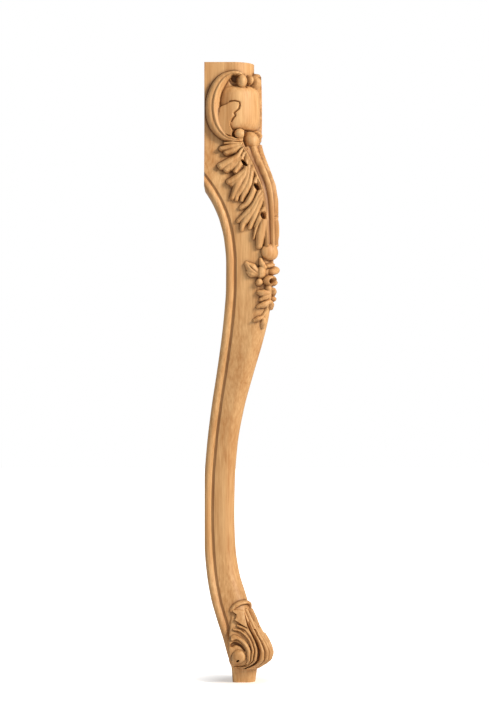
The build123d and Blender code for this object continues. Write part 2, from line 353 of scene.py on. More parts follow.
# %% The bead and the back
BEAD_START, BEAD_GROWTH = 21.0, 8.0
BEAD_RADIUS = 5.0
BEAD_TURNS = (-33, -47, -61, -75, -90, -108, -126, -144, -162, -180)
BEAD_TOP = -90
GROOVE_EDGE, GROOVE_EDGE_DEPTH = 12.4, 1.4
GROOVE_FLOOR, GROOVE_DEPTH = 9.9, 2.2
BACK_CORNER = 4.0
bead_share = smooth_step((rows - BEAD_START) / BEAD_GROWTH)


def edge_columns(back, front):
    """The points from the groove, over the bead and the plain back, to the back corner."""
    points = [
        (back + GROOVE_EDGE, -front + GROOVE_EDGE_DEPTH * bead_share),
        (back + GROOVE_FLOOR, -front + GROOVE_DEPTH * bead_share),
    ]
    for turn in BEAD_TURNS:
        c, s = cos_sin(turn)
        share = bead_share if turn > BEAD_TOP else 1.0
        points.append((back + BEAD_RADIUS * (1 + c), -front + BEAD_RADIUS * (1 + s) * share))
    low, high = -front + BEAD_RADIUS, -back - BACK_CORNER
    for share in (0.25, 0.5, 0.75, 1.0):
        points.append((back, low + (high - low) * share))
    for turn in (15, 30, 45):
        c, s = cos_sin(turn)
        points.append((back + BACK_CORNER * (1 - c), -back - BACK_CORNER * (1 - s)))
    return points


print("Columns over the bead and the back:", len(edge_columns(back, front)))

# %% [markdown]
# ## The post's sawn sides
#
# Towards the post the curve runs out behind the block that the leg is sawn from, which ends at POST_BACK. Its
# points are pressed onto the block's flat side there, so the bead runs out at the side as it does on the
# real leg, where the saw leaves the block. The part of a show face that carries carving stops BORDER_WIDTH
# short of the back, to leave room for the bead, and falls by FACE_DROP on its way there.

# %% One side of the leg
FACE_COLUMNS = 74
BORDER_WIDTH = 13.0
FACE_DROP = 0.9


def sawn_flat(x, y):
    """Presses the points behind the post's back onto it, in an order that still runs to the back corner."""
    behind = x < -POST_BACK
    last = y[np.arange(len(y)), np.argmax(behind, axis=1) - 1][:, None]
    tail = np.maximum.accumulate(np.where(behind, np.maximum(y, last), -FAR), axis=1)
    return np.maximum(x, -POST_BACK), np.minimum(np.where(behind, tail, y), POST_BACK)


def as_grids(points, normals, distances):
    """Turns lists of columns into arrays that are read by row and column."""
    return np.array(points).transpose(2, 0, 1), np.array(normals).transpose(2, 0, 1), np.array(distances).T


def side_columns(back, front, radius):
    """One side of the body's cuts, from the knee line to the back corner: points, normals, distances."""
    bend = radius * math.pi / 4
    reach = bend + (front - radius) - np.maximum(back + BORDER_WIDTH, -POST_BACK)
    whole = (front - radius) - (back + BORDER_WIDTH)
    columns = []
    for k in range(FACE_COLUMNS + 1):
        across = reach * k / FACE_COLUMNS
        (x, y), normal, flat = face_column(across, front, radius)
        columns.append(((x, y + FACE_DROP * bead_share * (flat / whole) ** 2), normal, across))
    still = np.zeros_like(back)
    columns += [(point, (still, still), reach + 1) for point in edge_columns(back, front)]
    points, normals, distances = as_grids(*zip(*columns))
    return np.stack(sawn_flat(points[:, :, 0], points[:, :, 1]), 2), normals, distances


left_side = side_columns(back, front, radius)
print("Columns on each side:", left_side[0].shape[1])

# %% Mirroring the columns over the knee line


def both_sides(points, normals, across):
    """Joins one side's columns with their mirror image, from one back corner round to the other."""
    return (
        np.concatenate([points[:, :0:-1], -points[:, :, ::-1]], 1),
        np.concatenate([normals[:, :0:-1], -normals[:, :, ::-1]], 1),
        np.concatenate([across[:, :0:-1], -across], 1),
    )


body_points, body_normals, body_across = both_sides(*left_side)
print("Columns round the whole leg:", body_points.shape[1])

# %% [markdown]
# ## Fitting the drawing to the body
#
# The strokes' places were read from the photograph at the scale of the leg's middle. The carved faces stand
# nearer to the camera, which looks up at them, so they look 1 to 2.4 mm too high, and the whole drawing is
# lowered by that. The drawing was also made for a rounder knee. The way round a sharper one is longer, so
# the drawing eases out from the knee line by up to 2 mm.

# %% The body's map
EASE = ([100.0, 300.0, 600.0, 657.0], [0.0, 2.0, 1.8, 0.0])
EASE_RUN = 12.0
DROP = ([100.0, 424.0, 520.0, 600.0, 650.0, 720.0, 750.0], [0.0, 2.4, 2.3, 1.8, 1.4, 1.4, 0.0])
ease = np.interp(rows, *EASE)[:, None]
drop = np.interp(rows, *DROP)
eased = np.abs(body_across) - ease * smooth_step(np.abs(body_across) / EASE_RUN)
body = Relief(np.sign(body_across) * eased, np.repeat((rows + drop)[:, None], body_across.shape[1], 1))
print("Grid:", body.across.shape)

# %% [markdown]
# ## The cartouche
#
# On the post sits a smooth swelling, like half a barrel with rounded shoulders. It stands on the rounded
# corner, so it isn't drawn with strokes. For each point of the surface the distance out to a true barrel is
# worked out instead, which keeps it round however the surface under it bends.

# %% The swelling
BARREL_AXIS = 8.0
BARREL_RADIUS, BARREL_BELLY = 29.0, 2.0
BARREL_BOTTOM, BARREL_TOP = 668.6, 722.4
BARREL_HALF_WIDTH = 40
SHOULDER_START, SHOULDER_FALL = 0.6, 7.0


def barrel_height():
    """How far each point of the body's surface lies inside the barrel."""
    middle, half = (BARREL_BOTTOM + BARREL_TOP) / 2, (BARREL_TOP - BARREL_BOTTOM) / 2
    level = np.clip(np.abs(body.up - middle) / half, 0, 1)
    shoulder = np.clip((level - SHOULDER_START) / (1 - SHOULDER_START), 0, 1)
    swell = BARREL_RADIUS - BARREL_BELLY * level**2 - SHOULDER_FALL * (1 - np.sqrt(1 - shoulder**2))
    dx = body_points[:, :, 0] + BARREL_AXIS
    dy = body_points[:, :, 1] - BARREL_AXIS
    facing = dx * body_normals[:, :, 0] + dy * body_normals[:, :, 1]
    square = facing**2 - (dx**2 + dy**2) + swell**2
    out = -facing + np.sqrt(np.clip(square, 0, None))
    level_with_it = (body.up > BARREL_BOTTOM) & (body.up < BARREL_TOP)
    return np.where((square > 0) & level_with_it & (np.abs(body.across) < BARREL_HALF_WIDTH), out, 0.0)


body.height = np.maximum(body.height, barrel_height())
print("The swelling stands out", round(float(body.height.max()), 1), "mm")

# %% [markdown]
# ## The rockwork
#
# Beside the barrel lies a ragged patch, as if a shell had broken away. Its edge is a drawn outline: the wood
# inside it stands a little proud, and a narrow cut follows it where it crosses the barrel.

# %% Inside an outline


def inside_outline(outline, across, up):
    """How far a point lies inside an outline, below nought outside it."""
    inside = np.zeros(across.shape, bool)
    nearest = np.full(across.shape, FAR)
    for (ax, ay), (bx, by) in zip(outline, np.roll(outline, -1, 0)):
        run_x, run_y = bx - ax, by - ay
        inside ^= ((ay > up) != (by > up)) & (across < run_x * (up - ay) / (run_y + 1e-12) + ax)
        t = np.clip(((across - ax) * run_x + (up - ay) * run_y) / (run_x**2 + run_y**2), 0, 1)
        nearest = np.minimum(nearest, np.hypot(across - ax - t * run_x, up - ay - t * run_y))
    return np.where(inside, nearest, -nearest)


UNIT_SQUARE = np.array([(0.0, 0.0), (1.0, 0.0), (1.0, 1.0), (0.0, 1.0)])
square_middle = inside_outline(UNIT_SQUARE, np.array([0.5]), np.array([0.5]))
print("The middle of a unit square lies", square_middle[0], "inside it")

# %% The ragged patch of rockwork
PATCH = np.array(
    [
        (39.0, 682.0), (36.8, 695.6), (33.5, 698.0), (27.9, 699.7), (23.8, 701.9), (18.3, 702.5),
        (14.9, 701.2), (14.5, 698.6), (15.4, 693.8), (18.8, 690.1), (19.8, 688.6), (18.8, 685.3),
        (21.4, 681.7), (23.2, 678.0), (23.2, 673.8), (20.2, 667.0), (22.0, 660.0), (34.0, 664.0),
    ]
)
PATCH_CRESTS = ([14.0, 20.0, 26.0, 32.0, 37.0], [0.0, 7.6, 6.9, 5.9, 5.2])
PATCH_EDGE, PATCH_STEP = 0.9, 1.9
EDGE_CUT_DEPTH, EDGE_CUT_REACH = 2.4, 1.1
HIGHEST_OFF_BARREL = 6
depth = inside_outline(PATCH, np.abs(body.across), body.up)
edge_cut = EDGE_CUT_DEPTH * smooth_step(EDGE_CUT_REACH - np.abs(depth + PATCH_EDGE))
body.height -= edge_cut * (body.height > HIGHEST_OFF_BARREL)
rise = smooth_step(depth / PATCH_EDGE)
patch = np.maximum(body.height, np.interp(np.abs(body.across), *PATCH_CRESTS) * rise) + PATCH_STEP * rise
body.height = np.where(depth > 0, patch, body.height)
print("Rockwork points:", int((depth > 0).sum()))

# %% [markdown]
# ## The C-scrolls
#
# A C-scroll on each face frames the barrel and meets it in little rolled ends. Its band has the classic
# section of such work: steep outside, a rounded crest, a hollow and a thin inner lip. The section is drawn
# once and swept along the C, with the half width and the crest given at each point of the path. The rolled
# ends are bosses, and the dark hollows beside them are pits that go below the body's surface: in shadow,
# and darkened further with painted shade.

# %% The C-scrolls' bands
SCROLL = [
    (12.5, 735.8), (19.0, 736.6), (27.0, 733.6), (34.0, 728.0), (40.0, 718.8), (43.8, 707.5), (45.0, 695.5),
    (43.6, 683.4), (39.5, 672.0), (32.0, 662.0), (24.0, 657.8), (14.5, 656.2), (8.6, 658.8),
]
SCROLL_HALF_WIDTHS = [2.2, 3.2, 6.0, 7.4, 7.8, 8.4, 8.6, 8.6, 8.0, 6.6, 4.4, 2.8, 2.0]
SCROLL_CRESTS = [9.0, 9.0, 9.2, 9.6, 9.8, 10.0, 10.0, 10.0, 9.8, 9.4, 9.0, 8.6, 7.8]
SCROLL_PROFILE = [
    (-1.0, 0.0), (-0.97, 0.3), (-0.9, 0.58), (-0.75, 0.64), (-0.55, 0.76), (-0.36, 0.92), (-0.24, 1.0),
    (-0.14, 0.98), (-0.02, 0.86), (0.08, 0.78), (0.2, 0.84), (0.45, 0.84), (0.7, 0.76), (0.88, 0.62),
    (0.97, 0.42), (1.0, 0.0),
]
moulding(body, SCROLL, SCROLL_HALF_WIDTHS, SCROLL_CRESTS, SCROLL_PROFILE)
print("Scroll relief up to", round(float(body.height.max()), 1), "mm")

# %% The rolled ends and the hollows beside them
HOLLOWS = [
    (18.0, 730.6, 4.8, 4.4, -5.0, 20.0),
    (20.5, 725.6, 5.2, 2.6, -2.5, 35.0),
    (18.2, 662.6, 2.8, 4.8, -3.0, -35.0),
]
ROLLED_ENDS = [(10.4, 727.6, 5.0, 7.8, 11.0, 3.0), (12.8, 663.8, 6.0, 6.4, 11.0, 3.0)]
for hollow in HOLLOWS:
    pit(body, *hollow)
for rolled_end in ROLLED_ENDS:
    dome(body, *rolled_end)
dome(body, 0.0, 729.6, 2.9, 5.6, 8.8, 3.0, both=False)
groove(body, [(5.4, 736.0), (4.8, 728.0), (5.2, 721.0)], [1.5, 1.7, 1.5], -1.0)
print("The deepest hollow goes", round(-float(body.height.min()), 1), "mm into the body")

# %% [markdown]
# ## The acanthus leaf
#
# The leaf hangs from the cartouche over the knee. Its fingers leave the midrib steeply, swell and turn out to
# rounded tips, in tiers that overlap like roof tiles, with a pierced eye where two tiers part. First comes
# the blade that joins the fingers, then the fingers, and last the cuts. Each finger is one stroke: its path,
# its half widths and its crests.

# %% The leaf's blade
BLADE = [
    (528.0, 5.0), (545.0, 10.0), (564.0, 15.0), (582.0, 19.0), (598.0, 24.0), (614.0, 26.0), (630.0, 27.0),
    (644.0, 24.0), (656.0, 16.0),
]
BLADE_HEIGHT, BLADE_EDGE = 4.2, 4.0
NO_BLADE = -9.0
blade_reach = np.interp(body.up, *zip(*BLADE), left=NO_BLADE, right=NO_BLADE)
blade = BLADE_HEIGHT * smooth_step((blade_reach - np.abs(body.across)) / BLADE_EDGE)
body.height = np.where(blade > 0, np.maximum(body.height, blade), body.height)
print("Points on the blade:", int((blade > 0).sum()))

# %% The upper fingers
UPPER_FINGERS = [
    ([(12.3, 652.1), (21.6, 652.1), (31.4, 652.1)], [1.8, 2.6, 2.0], [8.0, 8.6, 6.8]),
    ([(12.0, 650.5), (24.4, 647.8), (37.1, 645.3)], [2.2, 4.0, 3.4], [8.4, 9.4, 7.6]),
    ([(12.0, 648.9), (23.0, 643.5), (32.5, 640.2)], [2.0, 4.2, 3.6], [8.4, 9.0, 7.2]),
    (
        [(11.5, 646.2), (18.2, 637.5), (28.7, 631.0), (44.8, 623.5)],
        [1.8, 3.4, 4.6, 4.4],
        [8.8, 9.8, 9.4, 7.4],
    ),
    ([(20.4, 633.2), (30.8, 625.1), (39.9, 619.2)], [3.0, 4.4, 3.8], [8.4, 8.8, 7.0]),
    ([(16.9, 634.3), (26.2, 625.6), (33.9, 620.8)], [2.4, 3.6, 2.8], [8.6, 8.6, 6.6]),
    ([(11.1, 640.8), (18.6, 628.9), (29.3, 617.0)], [1.8, 3.8, 3.4], [9.0, 9.2, 7.4]),
    (
        [(7.2, 628.9), (15.5, 619.2), (24.3, 612.7), (31.2, 608.3), (41.5, 604.0)],
        [1.8, 3.6, 4.4, 4.8, 3.6],
        [9.0, 9.2, 9.0, 8.8, 6.8],
    ),
    ([(25.6, 608.9), (32.6, 604.0), (39.1, 600.8)], [3.0, 3.6, 2.8], [8.2, 8.2, 6.2]),
]
FINGER_LEAN = 0.15
for path, half_widths, crests in UPPER_FINGERS:
    ridge(body, path, half_widths, crests, lean=FINGER_LEAN)
print("Upper fingers on both faces:", 2 * len(UPPER_FINGERS))

# %% The lower fingers
LOWER_FINGERS = [
    (
        [(8.0, 645.0), (11.8, 628.0), (18.0, 615.0), (29.5, 603.5), (41.5, 585.0)],
        [2.4, 3.4, 4.6, 5.2, 2.8],
        [9.0, 9.6, 9.4, 8.4, 5.0],
    ),
    (
        [(8.4, 631.0), (15.0, 613.5), (24.5, 599.5), (34.5, 589.0), (37.0, 582.5)],
        [1.8, 3.4, 4.4, 4.2, 2.2],
        [9.0, 9.4, 8.6, 7.6, 4.5],
    ),
    (
        [(7.0, 626.0), (12.3, 611.0), (19.0, 599.5), (27.5, 588.5), (30.6, 582.0)],
        [1.8, 3.0, 4.2, 4.0, 2.2],
        [9.4, 9.6, 8.8, 7.6, 4.5],
    ),
    ([(8.0, 609.5), (16.0, 590.5), (24.0, 578.5), (32.0, 573.2)], [2.0, 4.0, 4.4, 3.0], [9.0, 9.0, 8.0, 5.0]),
    ([(7.4, 594.0), (16.8, 576.0), (27.0, 564.8), (36.0, 557.6)], [2.0, 3.6, 4.4, 3.0], [9.2, 9.0, 8.0, 5.0]),
    (
        [(6.2, 590.5), (15.0, 574.0), (21.5, 564.5), (30.0, 555.0), (32.6, 547.0)],
        [1.8, 3.6, 4.6, 4.6, 2.4],
        [9.4, 9.6, 9.0, 8.0, 4.5],
    ),
    ([(5.6, 588.0), (12.2, 571.0), (18.0, 559.5), (22.6, 549.5)], [1.8, 3.4, 4.2, 2.8], [9.4, 9.2, 8.4, 5.0]),
    ([(5.0, 576.0), (9.2, 564.5), (12.5, 556.5), (15.6, 550.6)], [1.8, 3.0, 3.6, 2.4], [9.4, 9.0, 8.0, 5.0]),
    ([(9.5, 558.0), (14.8, 548.5), (18.2, 536.5)], [1.4, 2.4, 1.6], [7.0, 7.0, 5.0]),
    ([(4.2, 567.0), (6.4, 555.5), (10.0, 541.0), (12.0, 527.5)], [2.2, 4.6, 6.2, 4.0], [9.2, 9.2, 8.6, 5.5]),
]
for path, half_widths, crests in LOWER_FINGERS:
    ridge(body, path, half_widths, crests, lean=FINGER_LEAN)
print("Lower fingers on both faces:", 2 * len(LOWER_FINGERS))

# %% [markdown]
# ## The midrib
#
# A thin rib stands on the knee line between two deep grooves, and a second rib edges each groove. The eyes
# between the tiers are pierced or bored deep on the real leaf. Here they are pits, because a height map has
# no holes, and painted shade darkens their floors so that they look bored.

# %% The midrib, the grooves beside it and the pierced eyes
MIDRIB = [(0.0, 650.0), (0.0, 630.0), (0.0, 590.0), (0.0, 555.0), (0.0, 524.0)]
RIB_BESIDE = [
    (13.6, 652.0), (10.4, 641.0), (8.4, 628.0), (7.2, 612.0), (6.4, 592.0), (5.6, 560.0), (5.0, 528.0),
]
GROOVE = [(10.8, 650.5), (7.2, 641.0), (5.4, 630.0), (4.6, 615.0), (4.0, 595.0), (3.4, 565.0), (3.0, 530.0)]
GROOVE_HEIGHT = 3.6
EYES = [(15.2, 627.5, -28.0), (10.3, 598.2, -20.0), (7.2, 563.5, -14.0)]
EYE_HALF_WIDTH, EYE_HALF_HEIGHT, EYE_FLOOR = 2.2, 4.4, -3.0
ridge(
    body, RIB_BESIDE, [1.6, 1.9, 1.9, 1.8, 1.7, 1.7, 1.8], [9.4, 10.0, 10.0, 9.8, 9.6, 9.4, 9.0], power=2.0
)
ridge(body, MIDRIB, [4.4, 2.6, 2.0, 1.8, 1.8], [9.6, 10.6, 10.4, 9.8, 9.0], power=2.6, both=False)
groove(body, GROOVE, [2.4, 2.8, 2.8, 2.6, 2.4, 2.1, 1.8], GROOVE_HEIGHT)
for across, up, turn in EYES:
    pit(body, across, up, EYE_HALF_WIDTH, EYE_HALF_HEIGHT, EYE_FLOOR, turn)
print("Pierced eyes:", 2 * len(EYES))

# %% The pearl, the bud and the collar
COLLAR = [(19.5, 86.0), (14.5, 90.4), (9.8, 93.0), (5.0, 94.8), (0.0, 95.4)]
COLLAR_SLOT = [(6.4, 90.9), (3.2, 90.1), (0.0, 89.8)]
groove(body, [(8.6, 666.0), (9.0, 657.5), (7.6, 649.0)], [1.4, 1.8, 1.4], 1.0)
dome(body, 0.0, 657.0, 7.6, 10.4, 14.0, 3.0, both=False)
dome(body, 0.0, 520.8, 9.8, 10.4, 8.8, 1.5, both=False)
ridge(body, COLLAR, [2.0, 2.3, 2.4, 2.4, 2.4], [2.6, 3.8, 4.4, 4.6, 4.6])
groove(body, COLLAR_SLOT, [1.2, 1.4, 1.5], 0.2)
print("The pearl makes the relief", round(float(body.height.max()), 1), "mm high")

# %% [markdown]
# ## The drop of flowers
#
# Below the bud hangs a string of small leaves, petals, berries and one bell with an open mouth. It isn't
# symmetric: the carver let each sprig fall its own way, so these strokes have no mirror image.

# %% The flower drop
PETALS = [
    ([(15.0, 495.5), (20.5, 500.0), (27.6, 506.4)], [5.6, 7.0, 2.8], [5.0, 6.2, 4.2]),
    ([(16.0, 493.6), (21.0, 494.0), (25.6, 496.6)], [3.4, 4.0, 2.2], [4.6, 5.4, 3.8]),
    ([(7.0, 501.5), (9.5, 506.5), (10.8, 511.5)], [2.6, 3.4, 2.2], [6.0, 6.6, 4.6]),
    ([(3.5, 503.5), (0.5, 504.5), (-3.0, 505.5)], [2.6, 2.8, 2.2], [5.0, 5.4, 4.4]),
    ([(-2.5, 496.5), (-10.0, 499.0), (-18.5, 501.5)], [4.0, 5.6, 3.2], [6.0, 7.6, 5.0]),
    ([(9.6, 492.4), (9.8, 495.5), (9.6, 499.4)], [4.4, 4.8, 4.4], [6.0, 6.6, 6.0]),
    ([(-6.0, 484.5), (-9.0, 484.0), (-11.6, 483.0)], [3.2, 4.2, 3.2], [5.0, 6.0, 4.6]),
    ([(1.8, 479.8), (1.8, 477.0), (1.6, 473.6)], [2.6, 3.2, 2.4], [5.6, 7.0, 6.4]),
    ([(1.5, 471.5), (6.5, 471.2), (11.5, 472.2)], [3.6, 4.8, 2.6], [6.6, 6.4, 4.4]),
    ([(1.5, 468.5), (4.5, 466.0), (7.8, 463.4)], [3.2, 3.8, 2.4], [6.4, 6.0, 4.2]),
    ([(-6.5, 476.0), (-9.5, 473.0), (-12.5, 469.6)], [2.8, 3.6, 2.4], [5.0, 5.6, 4.2]),
    ([(0.0, 461.0), (4.5, 457.4), (10.0, 455.0)], [3.4, 4.2, 2.2], [6.0, 6.0, 4.0]),
    ([(-3.0, 461.0), (-6.0, 457.5), (-8.0, 453.0)], [2.4, 3.2, 2.2], [5.0, 5.4, 4.0]),
    ([(0.2, 458.0), (1.2, 450.0), (4.6, 442.0)], [1.2, 1.4, 1.3], [4.0, 3.4, 3.4]),
    ([(4.4, 442.4), (8.0, 440.2), (11.4, 438.8)], [2.0, 3.2, 2.2], [4.0, 4.8, 3.6]),
    ([(2.2, 440.5), (1.0, 436.0), (0.4, 431.2)], [2.2, 3.6, 2.6], [4.2, 5.2, 3.8]),
]
for path, half_widths, crests in PETALS:
    ridge(body, path, half_widths, crests, both=False)
print("Leaves and petals:", len(PETALS))

# %% The berries and the bell
BERRIES = [(11.4, 484.2, 4.0, 4.4, 7.0, 2.0), (-10.8, 464.5, 3.4, 3.4, 6.0, 1.5)]
LEAF_VEIN = [(14.0, 495.0), (19.5, 499.5), (25.5, 505.0)]
for berry in BERRIES:
    dome(body, *berry, both=False)
dome(body, 1.4, 486.4, 6.2, 6.2, 10.0, 5.0, both=False)
pit(body, 0.4, 485.4, 3.5, 3.5, -1.0, both=False)
groove(body, LEAF_VEIN, [0.8, 1.0, 0.8], 4.4, both=False)
print("Berries:", len(BERRIES))

# %% [markdown]
# ## How deep in the carving a point lies
#
# The shadows that the light casts in the cuts come out too faint, so the cuts also get painted shade. Each
# vertex gets one number, its depth in the carving, which the material reads later to darken the wood there.
# A point that lies below the mean of its neighbours is in a cut. Near neighbours find the thin cuts, and
# farther ones the wide hollows.

# %% Depths for the painted shade in the cuts
NEAR_REACH, FAR_REACH = 2, 6
NEAR_CUT, FAR_CUT = 1.3, 3.2
NEAR_SHARE, FAR_SHARE, SUNK_SHARE = 0.6, 0.65, 0.6
SUNK_START, SUNK_RUN = 0.8, 2.5


def hollows(height, reach):
    """How far each point lies below the mean of the points round it."""
    padded = np.pad(height, reach, mode="edge")
    down, right = height.shape
    shifts = range(2 * reach + 1)
    total = sum(padded[i : i + down, j : j + right] for i in shifts for j in shifts)
    return total / len(shifts) ** 2 - height


def cut_depths(normals, relief):
    """Painted shade from depth in the carving: 0 on the open surface, 1 at the bottom of a deep cut."""
    near, far = hollows(relief.height, NEAR_REACH), hollows(relief.height, FAR_REACH)
    sunk = (-relief.height - SUNK_START) / SUNK_RUN
    depths = np.clip(near / NEAR_CUT, 0, 1) * NEAR_SHARE + np.clip(far / FAR_CUT, 0, 1) * FAR_SHARE
    # Points carved below the body's surface, such as the pits and eyes, get more painted shade still.
    depths += SUNK_SHARE * np.clip(sunk, 0, 1)
    carved = (normals**2).sum(2) > 0.5
    return np.where(carved, np.clip(depths, 0, 1), 0.0)


# The bead's groove is part of the body and not of the relief, so its painted shade is listed here.
GROOVE_COLUMNS = ((FACE_COLUMNS, 0.2), (FACE_COLUMNS + 1, 0.6), (FACE_COLUMNS + 2, 0.7))
groove_painted_shade = np.zeros_like(body.across)
middle = body.across.shape[1] // 2
for column, amount in GROOVE_COLUMNS:
    groove_painted_shade[:, [middle - column, middle + column]] = amount * bead_share[:, None]
print("Points in the beads' grooves:", int((groove_painted_shade > 0).sum()))

# %% [markdown]
# ## Rolling up the sheet
#
# The grid operator makes the flat sheet, and each vertex moves out along its normal by the relief's height.
# Then the two long edges merge, the ends are filled, and the normals are turned outwards. Edges sharper than
# 55 degrees, such as the rim of the post's top, stay crisp in the shading, and the carving stays soft.

# %% Making the mesh
MERGE_DISTANCE = 1e-6
CRISP_ANGLE = 55


def rolled_mesh(name, points, normals, relief, heights, depths):
    """Makes one grid, moves its vertices to the rolled-up surface with the relief on it, and closes it."""
    count_rows, count_columns = relief.across.shape
    bm = bmesh.new()
    bmesh.ops.create_grid(bm, x_segments=count_columns - 1, y_segments=count_rows - 1, size=1.0)
    bm.verts.ensure_lookup_table()
    order = sorted(range(len(bm.verts)), key=lambda i: (round(bm.verts[i].co.y, 6), bm.verts[i].co.x))
    place = points + normals * relief.height[:, :, None]
    # The cut layer carries each vertex's amount of painted shade to the material.
    depth_layer = bm.verts.layers.float.new("cut")
    for n, i in enumerate(order):
        row, column = divmod(n, count_columns)
        x, y = place[row, column]
        bm.verts[i].co = (x * MM, y * MM, heights[row] * MM)
        bm.verts[i][depth_layer] = depths[row, column]
    bmesh.ops.remove_doubles(bm, verts=bm.verts, dist=MERGE_DISTANCE)
    bmesh.ops.holes_fill(bm, edges=[edge for edge in bm.edges if edge.is_boundary])
    bmesh.ops.recalc_face_normals(bm, faces=bm.faces)
    mesh = bpy.data.meshes.new(name)
    bm.to_mesh(mesh)
    bm.free()
    piece = bpy.data.objects.new(name, mesh)
    bpy.context.scene.collection.objects.link(piece)
    mesh.shade_smooth()
    mesh.set_sharp_from_angle(angle=math.radians(CRISP_ANGLE))
    return piece


print("Edges sharper than", CRISP_ANGLE, "degrees will stay crisp")

# %% Rolling up the leg
# The leaf is cut flatter over the fullest part of the knee, where it would stand out past the sawn block.
FLATTER = ([505.0, 530.0, 575.0, 600.0], [1.0, 0.87, 0.87, 1.0])
CARVED_REACH = 54.8
flatter = np.interp(rows, *FLATTER)[:, None]
body.height = np.where(np.abs(body.across) < CARVED_REACH, body.height * flatter, 0.0)
depths = cut_depths(body_normals, body) + groove_painted_shade
carved_leg = rolled_mesh("carved_leg", body_points, body_normals, body, rows, depths)
print("carved_leg:", len(carved_leg.data.polygons), "faces")

# %% [markdown]
# ## The scroll foot
#
# The toe is a second swelling that grows out of the shaft and rolls up into a volute on each show face. It
# stands on its own grid, because its surface overhangs the foot block below it, and a single sheet would
# have to fold there. Its upper end sinks into the shaft under the collar.

# %% The toe's body
TOE_COLUMNS = 100
TOE_ROWS = 170
TOE_SIDE = 2.5
TOE_STATIONS = np.array(
    [
        (16.5, -6.0, 17.5, 12.0),
        (18.0, -11.0, 19.5, 12.0),
        (22.0, -15.2, 24.5, 12.5),
        (30.0, -17.4, 30.5, 13.5),
        (38.0, -17.6, 31.2, 14.0),
        (48.0, -17.6, 27.6, 14.0),
        (58.0, -17.0, 21.4, 14.0),
        (68.0, -16.0, 15.8, 14.0),
        (80.0, -15.0, 10.5, 15.0),
        (94.0, -15.0, 3.0, 12.5),
    ]
)
toe_rows = np.linspace(TOE_STATIONS[0, 0], TOE_STATIONS[-1, 0], TOE_ROWS)
toe_back, toe_front, toe_radius = smooth_columns(TOE_STATIONS, toe_rows)
toe_reach = toe_radius * math.pi / 4 + (toe_front - toe_radius) - (toe_back + TOE_SIDE)
print("The toe swells to", round(float(toe_front.max()), 1), "mm")

# %% The toe's grid
PAST_THE_CARVING = 4.0


def toe_side_columns():
    """One side of the toe's cuts, from the knee line to the back corner: points, normals, distances."""
    columns = []
    for k in range(TOE_COLUMNS + 1):
        across = toe_reach * k / TOE_COLUMNS
        point, normal, _ = face_column(across, toe_front, toe_radius)
        columns.append((point, normal, across))
    every = np.ones_like(toe_back)
    beyond = toe_reach + PAST_THE_CARVING
    for turn in (20, 40, 60, 80, 90):
        c, s = cos_sin(turn)
        corner = (toe_back + TOE_SIDE * (1 - s), -toe_front + TOE_SIDE * (1 - c))
        columns.append((corner, (-s * every, -c * every), beyond))
    for share in (0.5, 1.0):
        side = (toe_back, (-toe_front + TOE_SIDE) * (1 - share) - toe_back * share)
        columns.append((side, (0 * every, 0 * every), beyond))
    return as_grids(*zip(*columns))


toe_points, toe_normals, toe_across = both_sides(*toe_side_columns())
toe = Relief(toe_across, np.repeat(toe_rows[:, None], toe_across.shape[1], 1))
print("Toe grid:", toe.across.shape)

# %% [markdown]
# ## The toe's carving
#
# The volute is drawn with the same strokes as the leaf: a rounded nose, ribs that sweep down from the shaft
# and curl forward under it, a boss with an eye in the curl, a folded leaf above, and grooves between them.

# %% The nose and the ribs
NOSE_RISE = 2.2
NOSE_WIDTH, NOSE_WIDTH_RUN = 17.5, 3.0
NOSE_TOP, NOSE_TOP_RUN = 66.0, 4.0
RIBS = [
    (
        [
            (19.0, 68.6), (12.0, 65.0), (10.0, 57.5), (10.2, 52.0), (11.8, 43.4), (13.2, 34.9), (13.5, 27.0),
            (16.0, 20.8), (21.5, 18.8), (29.0, 19.0),
        ],
        [1.6, 1.9, 1.9, 1.9, 2.1, 2.2, 2.2, 2.0, 1.6, 1.3],
        [3.4, 4.2, 4.6, 4.8, 5.0, 5.0, 4.8, 4.4, 3.6, 2.6],
    ),
    (
        [
            (26.5, 64.5), (19.5, 62.8), (15.2, 57.0), (14.6, 51.5), (15.8, 43.4), (17.3, 34.9), (17.2, 28.0),
            (18.0, 22.5),
        ],
        [1.2, 1.5, 1.6, 1.6, 1.7, 1.7, 1.5, 1.1],
        [3.0, 3.8, 4.2, 4.4, 4.6, 4.6, 4.2, 3.4],
    ),
    (
        [(36.0, 53.5), (29.0, 55.6), (23.8, 51.5), (21.6, 45.0), (21.6, 38.3), (21.0, 31.0), (19.6, 25.0)],
        [2.0, 2.7, 3.0, 2.9, 2.6, 2.2, 1.6],
        [4.0, 5.0, 5.4, 5.4, 5.0, 4.4, 3.4],
    ),
    (
        [(3.2, 72.0), (4.0, 62.0), (4.3, 54.0), (5.2, 46.0), (5.7, 38.0), (5.9, 30.0), (5.4, 22.0)],
        [1.0, 1.3, 1.5, 2.0, 2.6, 2.8, 2.2],
        [3.0, 3.4, 3.6, 3.8, 4.0, 3.8, 2.6],
    ),
]
TOE_RIDGE = [(0.0, 86.0), (0.0, 71.0), (0.0, 56.0), (0.0, 44.0), (0.0, 33.0), (0.0, 22.0)]
nose = smooth_step((NOSE_WIDTH - np.abs(toe.across)) / NOSE_WIDTH_RUN)
toe.height += NOSE_RISE * nose * smooth_step((NOSE_TOP - toe.up) / NOSE_TOP_RUN)
for path, half_widths, crests in RIBS:
    ridge(toe, path, half_widths, crests)
ridge(toe, TOE_RIDGE, [2.0, 2.2, 2.4, 2.4, 2.2, 1.8], [3.0, 3.4, 4.0, 4.2, 4.0, 2.6], both=False)
print("Ribs on both faces:", 2 * len(RIBS) + 1)

